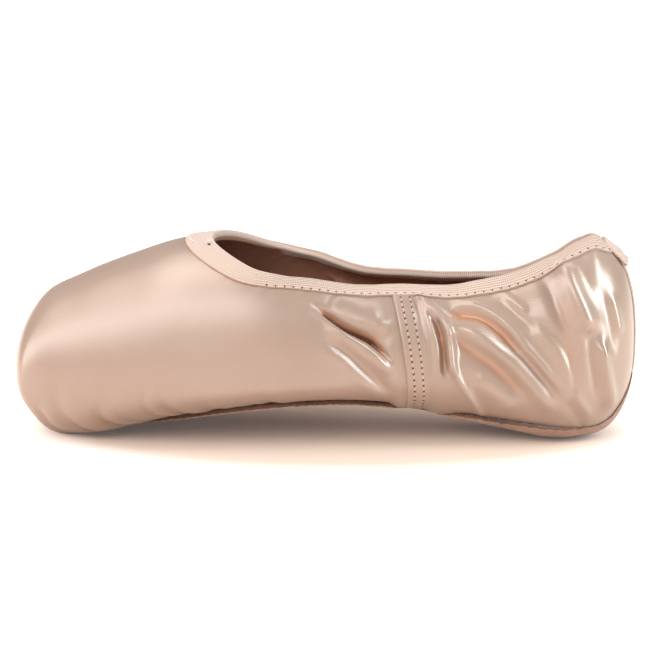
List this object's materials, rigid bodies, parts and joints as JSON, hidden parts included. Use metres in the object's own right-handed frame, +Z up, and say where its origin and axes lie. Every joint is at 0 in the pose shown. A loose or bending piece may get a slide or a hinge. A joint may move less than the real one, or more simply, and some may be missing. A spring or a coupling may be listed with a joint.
{
  "type": "pointe shoe",
  "caption": "Satin pointe shoe with a stiff toe box, a low elastic-bound collar, side seams, a suede outsole and an insole, standing empty.",
  "frame": {"origin": "on the floor, under the middle of the shoe's bounding box", "axes": "+X towards the heel, -X towards the toe, +Z up, Y across the shoe"},
  "size_m": [0.2336, 0.0822, 0.0773],
  "materials": {
    "satin": "glossy satin",
    "lining": "matt lining",
    "elastic": "ribbed elastic",
    "suede": "napped suede",
    "tape": "satin"
  },
  "bodies": {
    "root": {"upper": "satin", "outsole": "suede", "insole": "lining", "collar_binding": "elastic", "side_seam_near": "tape", "side_seam_far": "tape", "back_seam": "tape", "heel_tab": "elastic"}
  },
  "joints": []
}
